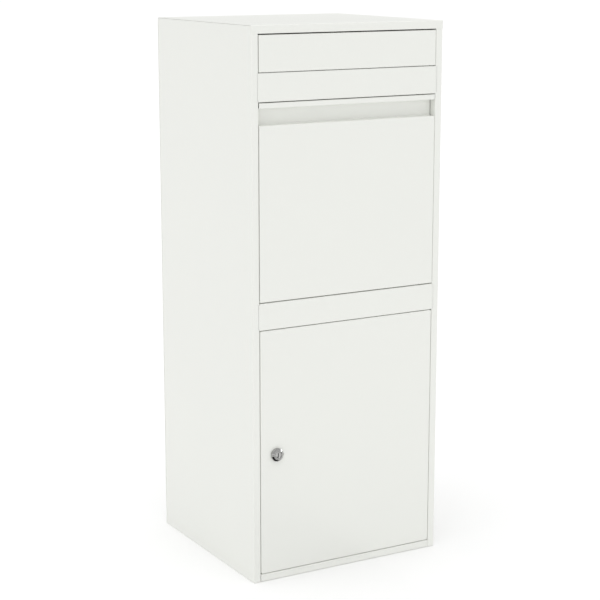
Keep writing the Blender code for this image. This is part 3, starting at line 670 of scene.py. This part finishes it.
def hopperCheek(word, hand):
    # the front edge under the pull's box, round the radius to the tray's end, and back along the tray
    node = "hopper_cheek_" + word
    low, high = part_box(node)
    bend = sheet["bend"]
    under = frontHigh.z - hopper["pullLip"] - hopper["pullHigh"] - thick - touch
    behind = frontLow.y + hopper["pullDeep"] + thick + touch
    floor, front = trayBend[1], frontLow.y + thick + touch
    axis = np.array([hopperAxis.y, hopperAxis.z])
    end = trayEnd() - axis
    angle = np.linspace(math.asin((behind - axis[0]) / hopper["radius"]), math.atan2(end[0], end[1]), 97)
    arc = axis + hopper["radius"] * np.stack([np.sin(angle), np.cos(angle)], 1)
    outline = np.vstack([[(front + bend, floor), (front, floor + bend), (front, under - bend),
                          (front + bend, under), (behind, under)], arc, [trayBend]])
    cheek = flatPlate("hopperCheek" + word.capitalize(), outline, low.x, high.x, "X", "hopper", [node],
                      innerPaint)
    carve(cheek, [drum(((low.x + high.x) / 2, hopperAxis.y, hopperAxis.z), shell["bore"], 4 * thick, "X")])


def headedPin(name, node, radius, headRadius, headLong, axis, toward, body):
    # a shank with an eased tip and a domed head; toward says which end of the axis the head is at
    low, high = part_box(node)
    middle = (low + high) / 2
    number = "XYZ".index(axis)
    half = (high[number] - low[number]) / 2
    ease = radius / 4
    head = [(headRadius * math.cos(a), half - headLong + headLong * (0.35 + 0.65 * math.sin(a)))
            for a in np.linspace(0, math.pi / 2, 9)[:-1]]
    profile = [(0, -half), (radius - ease, -half), (radius, ease - half), (radius, half - headLong),
               (headRadius, half - headLong)] + head + [(0, half)]
    profile = [(r, h * toward) for r, h in profile]
    turned(name, profile, middle, axis, body, [node], zincSteel, 40)


def stopStud(word, hand):
    node = "hopper_stop_" + word
    low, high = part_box(node)
    radius, half = (high.z - low.z) / 2, (high.x - low.x) / 2
    rounding = radius / 5
    side = [(radius - rounding + rounding * math.cos(a), half - rounding + rounding * math.sin(a))
            for a in np.linspace(0, math.pi / 2, 6)]
    profile = [(0, -half), (radius, -half)] + side + [(0, half)]
    profile = [(r, h * hand) for r, h in profile]
    turned("hopperStop" + word.capitalize(), profile, (low + high) / 2, "X", "hopper", [node], zincSteel,
           48)


hopperFront()
hopperTray()
hopperStiffener()
for word, hand in (("left", -1), ("right", 1)):
    hopperCheek(word, hand)
    stopStud(word, hand)
    headedPin("hopperPin" + word.capitalize(), "hopper_hinge_pin_" + word, 0.0020, 0.0030, 0.0020, "X", -hand,
              "cabinet")
print("hopper made")


door = {
    "corner": 0.0030, "bend": 0.0015, "cornerSteps": 8, "bendSteps": 8, "holeStep": math.radians(4),
    "hole": 0.0098, "pinRadius": 0.0017, "pinHead": (0.0026, 0.0025), "hatFoot": 0.0100,
}
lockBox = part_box("lock_housing")
lockX, lockZ = (lockBox[0].x + lockBox[1].x) / 2, (lockBox[0].z + lockBox[1].z) / 2


def panelRim(low, high, hole):
    # base points on the rectangle of the corners' centres, each with the unit normal that it is pushed out
    # along; the straight sides have a point for every few degrees seen from the lock's hole
    corner = door["corner"]
    x0, x1, z0, z1 = low.x + corner, high.x - corner, low.z + corner, high.z - corner
    centres = np.array([(x1, z1), (x0, z1), (x0, z0), (x1, z0)])
    bases, normals = [], []
    for number, (here, there) in enumerate(zip(centres, np.roll(centres, -1, axis=0))):
        angle = math.pi / 2 * number + np.linspace(0, math.pi / 2, door["cornerSteps"] + 1)
        bases.append(np.repeat(here[None], len(angle), axis=0))
        normals.append(np.stack([np.cos(angle), np.sin(angle)], 1))
        start, run = here - hole, there - here
        first, last = math.atan2(start[1], start[0]), math.atan2(*(there - hole)[::-1])
        sweep = (last - first) % (2 * math.pi)
        seen = first + np.linspace(0, sweep, int(sweep / door["holeStep"]) + 2)[1:-1]
        ray = np.stack([np.cos(seen), np.sin(seen)], 1)
        part = -(ray[:, 0] * start[1] - ray[:, 1] * start[0]) / (ray[:, 0] * run[1] - ray[:, 1] * run[0])
        bases.append(here + part[:, None] * run)
        normals.append(np.repeat(normals[-1][-1:], len(part), axis=0))
    return np.concatenate(bases), np.concatenate(normals)


def doorPanel():
    # rings of (push along the normal, depth) from the hole's edge over the face, round the folded edge, back
    # along the return, round its rim and over the inner side to the hole again
    low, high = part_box("door_panel")
    hole = np.array([lockX, lockZ])
    base, normal = panelRim(low, high, hole)
    corner, bend, ease = door["corner"], door["bend"], sheet["cutEdge"]
    depth = high.y - low.y
    turn = np.linspace(0, math.pi / 2, door["bendSteps"] + 1)
    outer = np.stack([corner - bend + bend * np.sin(turn), bend - bend * np.cos(turn)], 1)
    inside = bend - thick
    inner = np.stack([corner - bend + inside * np.sin(turn), bend - inside * np.cos(turn)], 1)[::-1]
    rim = np.array([(corner, depth - ease), (corner - ease, depth), (corner - thick + ease, depth),
                    (corner - thick, depth - ease)])
    stations = np.vstack([outer, rim, inner])
    edge = base + normal * corner - hole
    around = edge / np.linalg.norm(edge, axis=1)[:, None]
    rings = []
    for radius, back in ((door["hole"], ease), (door["hole"] + ease, 0.0)):
        flat = hole + around * radius
        rings.append(np.stack([flat[:, 0], np.full(len(flat), low.y + back), flat[:, 1]], 1))
    for push, back in stations:
        flat = base + normal * push
        rings.append(np.stack([flat[:, 0], np.full(len(flat), low.y + back), flat[:, 1]], 1))
    for radius, back in ((door["hole"] + ease, thick), (door["hole"], thick - ease)):
        flat = hole + around * radius
        rings.append(np.stack([flat[:, 0], np.full(len(flat), low.y + back), flat[:, 1]], 1))
    faces = gridFaces(len(rings), len(base), wrapRows=True, wrapColumns=True)
    newPiece("doorPanel", np.vstack(rings), faces, "door", ["door_panel"], bodyPaint)


def doorStiffener():
    low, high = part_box("door_stiffener")
    half = (high.x - low.x) / 2 - door["hatFoot"]
    section = hatSection((low.x + high.x) / 2, half, low.y + thick, high.y, door["hatFoot"])
    corners = [(-along, out) for out, along in section]
    foldedSheet("doorStiffener", corners, low.z, high.z, "Z", "door", ["door_stiffener"], innerPaint)


def doorStopBracket(word):
    node = "door_stop_bracket_" + word
    low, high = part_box(node)
    corners = [(high.x, high.y), (low.x, high.y), (low.x, low.y)]
    foldedSheet("doorStop" + word.capitalize(), corners, low.z, high.z, "Z", "cabinet", [node], zincSteel)


doorPanel()
doorStiffener()
for word, toward in (("top", -1), ("bottom", 1)):
    headedPin("doorPin" + word.capitalize(), "door_hinge_pin_" + word, door["pinRadius"], *door["pinHead"],
              "Z", toward, "door")
doorStopBracket("lower")
doorStopBracket("upper")
print("door made")


lock = {
    "proud": 0.0070, "barrel": 0.0095, "plug": 0.0065, "facets": 9,
    "plugDome": 0.0004,
    "face": ((0.0123, 0.0003, 0.4), (0.0125, 0.0006, 0.4), (0.0125, 0.0042, 0.4), (0.0123, 0.0046, 0.4),
             (0.0105, 0.0058, 0.2), (0.0090, 0.0067, 0.0), (0.0086, 0.0070, 0.0), (0.0080, 0.0070, 0.0),
             (0.0078, 0.0069, 0.0), (0.0077, 0.0058, 0.0), (0.0075, 0.0056, 0.0)),
    "thread": 0.0007, "threadDeep": 0.00030,
    # slot sizes; the last depth places a dark plate of painted shade inside the key slot
    "slotWide": 0.0016, "slotHigh": 0.0078, "slotDeep": 0.0060, "shadePlateDeep": 0.0011,
    "nutFlats": 0.0240, "camBore": 0.0043, "screw": 0.0020, "screwHead": 0.0055,
}
housingLow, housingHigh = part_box("lock_housing")
plugLow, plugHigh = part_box("lock_plug")
lockCentre = np.array([lockX, housingLow.y + lock["proud"], lockZ])


def facetedLoop(radius, steps, amount):
    # a circle pressed flat between its facets' corners: cos(half) / cos(angle to the facet's middle)
    angle = np.linspace(0, 2 * math.pi, steps, endpoint=False) + 0.35
    half = math.pi / lock["facets"]
    flat = math.cos(half) / np.cos((angle % (2 * half)) - half)
    return angle, radius * (1 - amount + amount * flat)


def lockHousing():
    # rows of (radius, depth, facet amount): threaded barrel, flange with a facetted rim, dished face, bore
    gap = touch
    back = housingHigh.y - lockCentre[1]
    threads = np.arange(thick + 0.0004, back - 0.0008, lock["thread"] / 2)
    crest = lock["barrel"] - lock["threadDeep"] * (np.arange(len(threads)) % 2)
    rows = [(lock["plug"] + gap, back, 0), (lock["barrel"] - 0.0006, back, 0)]
    rows += [(r, d, 0) for r, d in zip(crest[::-1], threads[::-1])]
    rows += [(lock["barrel"], -gap, 0)]
    rows += [(radius, -depth, amount) for radius, depth, amount in lock["face"]]
    rows += [(lock["plug"] + gap, -0.0056, 0)]
    steps = 108
    rings = []
    for radius, depth, amount in rows:
        angle, spread = facetedLoop(radius, steps, amount)
        rings.append(lockCentre + np.stack([spread * np.cos(angle), np.full(steps, depth),
                                            spread * np.sin(angle)], 1))
    faces = gridFaces(len(rings), steps, wrapRows=True, wrapColumns=True)
    newPiece("lockHousing", np.vstack(rings), faces, "door", ["lock_housing"], chrome, 22.0)


def lockPlug():
    # the plug's face is a low dome with a ring groove; the key slot is carved to its full depth
    front = plugLow.y - lockCentre[1]
    face = -0.0062
    tail = plugHigh.y - lockCentre[1]
    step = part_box("lock_cam")[0].y - touch - lockCentre[1]
    tenon = lock["camBore"] - touch
    screwBore = lock["screw"] + touch
    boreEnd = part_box("cam_screw")[0].y - touch - lockCentre[1]
    radius = lock["plug"]
    profile = [(0, boreEnd), (screwBore, boreEnd), (screwBore, tail), (tenon, tail), (tenon, step),
               (radius, step), (radius, face + 0.0003), (radius - 0.0003, face), (radius - 0.0010, face),
               (radius - 0.0013, face + 0.0004), (radius - 0.0018, face + 0.0004), (radius - 0.0021, face)]
    dome = [(r, face - lock["plugDome"] * (1 - (r / (radius - 0.0021)) ** 2))
            for r in np.linspace(radius - 0.0021, 0, 9)[1:]]
    plug = turned("lockPlug", profile + dome, lockCentre, "Y", "lock", ["lock_plug"], chrome, 72)
    half = Vector((lock["slotWide"] / 2, 0, lock["slotHigh"] / 2))
    nose = Vector(lockCentre) + Vector((0, front, 0))
    deep = Vector((0, lock["slotDeep"], 0))
    carve(plug, [brick(nose - half - deep, nose + half + deep)])
    # a near-black plate a little inside the key slot: painted shade in the slot's depth
    inset = 0.00008
    wide, high = lock["slotWide"] / 2 - inset, lock["slotHigh"] / 2 - inset
    x, z = lockX, lockZ
    outline = [(x - wide, z - high), (x + wide, z - high), (x + wide, z - high / 3), (x + wide * 0.3, z),
               (x + wide, z + high / 3), (x + wide, z + high), (x - wide, z + high)]
    start = lockCentre[1] + face + lock["shadePlateDeep"]
    flatPlate("keyShutter", outline, start, start + 0.002, "Y", "lock", [], keyway)


def lockRing(name, node, hexagon, finish):
    # washer or nut: rings of (radius, depth) round the barrel; a nut's rings are the lesser of the hexagon
    # and the cone that chamfers its corners
    low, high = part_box(node)
    bore = lock["barrel"] + touch
    deep = high.y - low.y
    steps = 144
    angle = np.linspace(0, 2 * math.pi, steps, endpoint=False)
    half = math.pi / 6
    corner = lock["nutFlats"] / 2 / math.cos(half)
    edge = lock["nutFlats"] / 2 / np.cos((angle % (2 * half)) - half) if hexagon else \
        np.full(steps, (high.x - low.x) / 2)
    ease = 0.0004 if hexagon else 0.0002
    cone = [(0.0, 0.00175), (ease * 2, 0.0008), (ease * 4, 0.0)] if hexagon else [(0.0, ease), (ease, 0.0)]
    reach = corner if hexagon else edge[0]
    rows = [np.full(steps, bore + ease)] + [np.minimum(edge, reach - cut) for _, cut in cone]
    depths = [0.0] + [depth for depth, _ in cone]
    rows += [np.minimum(edge, reach - cut) for _, cut in cone[::-1]] + [np.full(steps, bore + ease)]
    depths += [deep - depth for depth, _ in cone[::-1]] + [deep]
    rows += [np.full(steps, bore), np.full(steps, bore)]
    depths += [deep - ease, ease]
    centre = np.array([lockX, low.y, lockZ])
    rings = [centre + np.stack([row * np.sin(angle), np.full(steps, depth), row * np.cos(angle)], 1)
             for row, depth in zip(rows, depths)]
    faces = gridFaces(len(rings), steps, wrapRows=True, wrapColumns=True)
    newPiece(name, np.vstack(rings), faces, "door", [node], finish, 25.0)


def lockCam():
    # a round head over the tenon and a straight tongue with clipped corners
    low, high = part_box("lock_cam")
    half = (high.x - low.x) / 2
    clip = half / 3
    angle = np.linspace(0, math.pi, 41)
    head = np.stack([lockX + half * np.cos(angle), lockZ + half * np.sin(angle)], 1)
    tongue = [(low.x, low.z + clip), (low.x + clip, low.z), (high.x - clip, low.z), (high.x, low.z + clip)]
    cam = flatPlate("lockCam", np.vstack([head, tongue]), low.y, high.y, "Y", "lock", ["lock_cam"], zincSteel)
    carve(cam, [drum((lockX, low.y, lockZ), lock["camBore"], 0.008, "Y")])


def camScrew():
    # a pan head with a cross recess
    low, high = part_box("cam_screw")
    base = lockCentre * (1, 0, 1)
    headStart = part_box("lock_cam")[1].y + touch
    radius, head = lock["screw"], lock["screwHead"]
    dome = [(head * math.cos(a), headStart + (high.y - headStart) * (0.4 + 0.6 * math.sin(a)))
            for a in np.linspace(0, math.pi / 2, 11)[:-1]]
    profile = [(0, low.y), (radius - 0.0004, low.y), (radius, low.y + 0.0004), (radius, headStart),
               (head, headStart)] + dome + [(0, high.y)]
    screw = turned("camScrew", profile, base, "Y", "lock", ["cam_screw"], zincSteel, 48)
    arm, wide, deep = head * 0.55, head * 0.10, (high.y - headStart) * 0.5
    tools = [brick((lockX - x, high.y - deep, lockZ - z), (lockX + x, high.y + deep, lockZ + z))
             for x, z in ((arm, wide), (wide, arm))]
    carve(screw, tools)


lockHousing()
lockPlug()
lockRing("lockWasher", "lock_washer", False, zincSteel)
lockRing("lockNut", "lock_nut", True, zincSteel)
lockCam()
camScrew()


returns = {"flapDeep": 0.0085, "hopperDeep": 0.0110, "gap": 0.00010, "padRound": 0.0012}
seam = {"wide": 0.0024, "deep": 0.0020, "under": 0.0004, "ease": 0.00002}


def endReturn(name, hand, panel, deep, low, high, bore, body):
    # a side return closes the open end of a folded front, its outer face flush with the front's cut edge
    boxLow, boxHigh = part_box(panel)
    outer = boxHigh.x if hand > 0 else boxLow.x
    front = boxLow.y + thick + returns["gap"]
    left, right = sorted((outer, outer - hand * thick))
    clip = thick
    outline = [(front, low), (front + deep - clip, low), (front + deep, low + clip),
               (front + deep, high - clip), (front + deep - clip, high), (front, high)]
    plate = flatPlate(name, outline, left, right, "X", body, [], bodyPaint)
    if bore is not None:
        carve(plate, [drum(((left + right) / 2, bore.y, bore.z), shell["bore"], 4 * thick, "X")])


def seamFill(name, hand, low, high):
    # the weld that is ground flush where a rail meets the stile's rounded edge
    stile = hand * (cabinet["halfWidth"] - shell["stileWide"])
    left, right = sorted((stile - hand * seam["under"], stile + hand * seam["wide"]))
    front = cabinet["front"]
    outline = [(left, low), (right, low), (right, high), (left, high)]
    flatPlate(name, outline, front, front + seam["deep"], "Y", "cabinet", [], bodyPaint,
              seam["ease"])


def rubberPad(name, node, body):
    # a rounded block: a unit cube's grid pushed out to a box with round edges
    low, high = (np.array(corner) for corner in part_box(node))
    half, middle = (high - low) / 2, (low + high) / 2
    radius = min(returns["padRound"], float(half.min()) * 0.8)
    steps = 9
    line = np.tan(np.linspace(-math.pi / 4, math.pi / 4, steps))
    u, v = (part.ravel() for part in np.meshgrid(line, line, indexing="ij"))
    one = np.ones(len(u))
    sides, faces = [], []
    for number in range(3):
        for sign in (-1, 1):
            sides.append(np.roll(np.stack([one * sign, u, v], 1), number, axis=1))
            faces.append(gridFaces(steps, steps) + len(faces) * steps * steps)
    cube = np.concatenate(sides)
    ball = cube / np.linalg.norm(cube, axis=1)[:, None]
    points = middle + np.sign(cube.round(6)) * (half - radius) + ball * radius
    newPiece(name, points, np.concatenate(faces), body, [node], rubber, 60.0)


flapLow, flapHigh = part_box("letter_flap")
hopperPull = frontHigh.z - hopper["pullLip"] - hopper["pullHigh"]
for word, hand in (("Left", -1), ("Right", 1)):
    sill = flapLow.z + letterBay["flapLip"]
    endReturn("flapReturn" + word, hand, "letter_flap", returns["flapDeep"], sill + thick, flapHigh.z - thick,
              flapAxis, "letter_flap")
    endReturn("hopperReturn" + word, hand, "hopper_front", returns["hopperDeep"], frontLow.z + thick,
              hopperPull - thick, hopperAxis, "hopper")
    stripLow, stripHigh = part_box("letter_strip")
    seamFill("stripSeam" + word, hand, stripLow.z + letterBay["catch"] + sheet["bend"], stripHigh.z)
    railLow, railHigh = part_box("mid_rail")
    seamFill("railSeam" + word, hand, railLow.z + sheet["bend"], railHigh.z - sheet["bend"])
for word in ("left", "right"):
    rubberPad("flapPad" + word.capitalize(), "letter_flap_bumper_" + word, "cabinet")
    rubberPad("hopperPad" + word.capitalize(), "hopper_bumper_" + word, "cabinet")
for word in ("lower", "upper"):
    rubberPad("doorPad" + word.capitalize(), "door_bumper_" + word, "cabinet")
print("lock, returns and pads made")


studio = {
    "floorHalf": 90.0, "floorDrop": 0.0004, "floorGlow": 0.05, "air": 0.66,
    "keyLight": {"strength": 1.40, "softness": 80.0, "from": (-0.12, -0.05, 0.99),
                 "highlight": True, "body": True},
    "lensLight": {"strength": 0.28, "softness": 40.0, "from": (-0.49, -0.84, 0.21),
                  "highlight": False, "body": True},
    "edgeLight": {"strength": 0.45, "softness": 24.0, "from": (0.95, -0.10, 0.32),
                  "highlight": True, "body": False},
    "flags": {"doorFlag": ((-0.55, -0.62, 0.002), (0.06, -0.20, 0.002)),
              "standFlag": ((-1.05, -1.50, 0.002), (-0.60, -0.95, 0.002))},
}


def studioFloor():
    # a plain white sweep: its glow keeps it as white as the air behind it
    half = studio["floorHalf"]
    place = np.linspace(-half, half, 9)
    x, y = np.meshgrid(place, place, indexing="ij")
    points = np.stack([x.ravel(), y.ravel(), np.full(x.size, -studio["floorDrop"])], 1)
    mesh = bpy.data.meshes.new("studioFloor")
    mesh.from_pydata(points.tolist(), [], gridFaces(9, 9).tolist())
    floor = bpy.data.objects.new("studioFloor", mesh)
    bpy.context.scene.collection.objects.link(floor)
    finish = Finish("floorWhite")
    shade = finish.noise(finish.place(), 1.5, 2.0)
    colour = finish.mixed(shade, (0.90, 0.90, 0.90), (0.92, 0.92, 0.92))
    finish.set(baseColor=colour, roughness=shade * 0.05 + 0.9)
    finish.shader.inputs["Emission Color"].default_value = (1.0, 1.0, 1.0, 1.0)
    finish.shader.inputs["Emission Strength"].default_value = studio["floorGlow"]
    finish.bump(shade, 0.0002, 0.1)
    mesh.materials.append(finish.material)


def darkFlag(name, low, high):
    # a black card that only reflections see: it gives polished metal its dark edges, and it shows in
    # the satin paint too, most of all when the front is seen from steeply above
    low, high = np.array(low), np.array(high)
    step = np.linspace(0, 1, 5)
    u, v = (part.ravel() for part in np.meshgrid(step, step, indexing="ij"))
    points = low + (high - low) * np.stack([u, v, 0 * u], 1)
    mesh = bpy.data.meshes.new(name)
    mesh.from_pydata(points.tolist(), [], gridFaces(5, 5).tolist())
    card = bpy.data.objects.new(name, mesh)
    bpy.context.scene.collection.objects.link(card)
    card.visible_camera = card.visible_diffuse = card.visible_shadow = card.visible_transmission = False
    mesh.materials.append(flagBlack)


def softSun(name):
    # an even light from one side of the room, as wide as its softness in degrees
    settings = studio[name]
    light = bpy.data.lights.new(name, "SUN")
    light.energy = settings["strength"]
    light.angle = math.radians(settings["softness"])
    lamp = bpy.data.objects.new(name, light)
    lamp.location = settings["from"]
    lamp.visible_glossy = settings["highlight"]
    lamp.visible_diffuse = settings["body"]
    lamp.rotation_euler = Vector(settings["from"]).to_track_quat("Z", "Y").to_euler()
    bpy.context.scene.collection.objects.link(lamp)


def studioWorld():
    world = bpy.data.worlds.new("studioAir")
    world.use_nodes = True
    # white to look at, and a little less bright as a light
    tree = world.node_tree
    air = tree.nodes["Background"]
    seen = tree.nodes.new("ShaderNodeLightPath")
    level = tree.nodes.new("ShaderNodeMapRange")
    level.inputs["To Min"].default_value = studio["air"]
    level.inputs["To Max"].default_value = 1.0
    tree.links.new(seen.outputs["Is Camera Ray"], level.inputs["Value"])
    tree.links.new(level.outputs["Result"], air.inputs["Strength"])
    air.inputs["Color"].default_value = (1.0, 1.0, 1.0, 1.0)
    bpy.context.scene.world = world


studioFloor()
flagFinish = Finish("flagBlack")
felt = flagFinish.noise(flagFinish.place(), 300.0)
feltBlack = flagFinish.mixed(felt, (0.01, 0.01, 0.01), (0.03, 0.03, 0.03))
flagFinish.set(baseColor=feltBlack, roughness=felt * 0.1 + 0.9)
flagBlack = flagFinish.material
for name, (low, high) in studio["flags"].items():
    darkFlag(name, low, high)
softSun("keyLight")
softSun("lensLight")
softSun("edgeLight")
studioWorld()

lens = {"place": (-1.543, -2.712, 1.151), "down": 12.14, "turn": -29.73, "focal": 98.4, "film": 36.0}
camera = bpy.data.objects.new("camera", bpy.data.cameras.new("camera"))
camera.data.lens = lens["focal"]
camera.data.sensor_width = lens["film"]
camera.location = lens["place"]
camera.rotation_euler = (math.radians(90 - lens["down"]), 0, math.radians(lens["turn"]))
bpy.context.scene.collection.objects.link(camera)
bpy.context.scene.camera = camera
bpy.context.scene.view_settings.view_transform = "Standard"
print("floor, lights and camera placed")
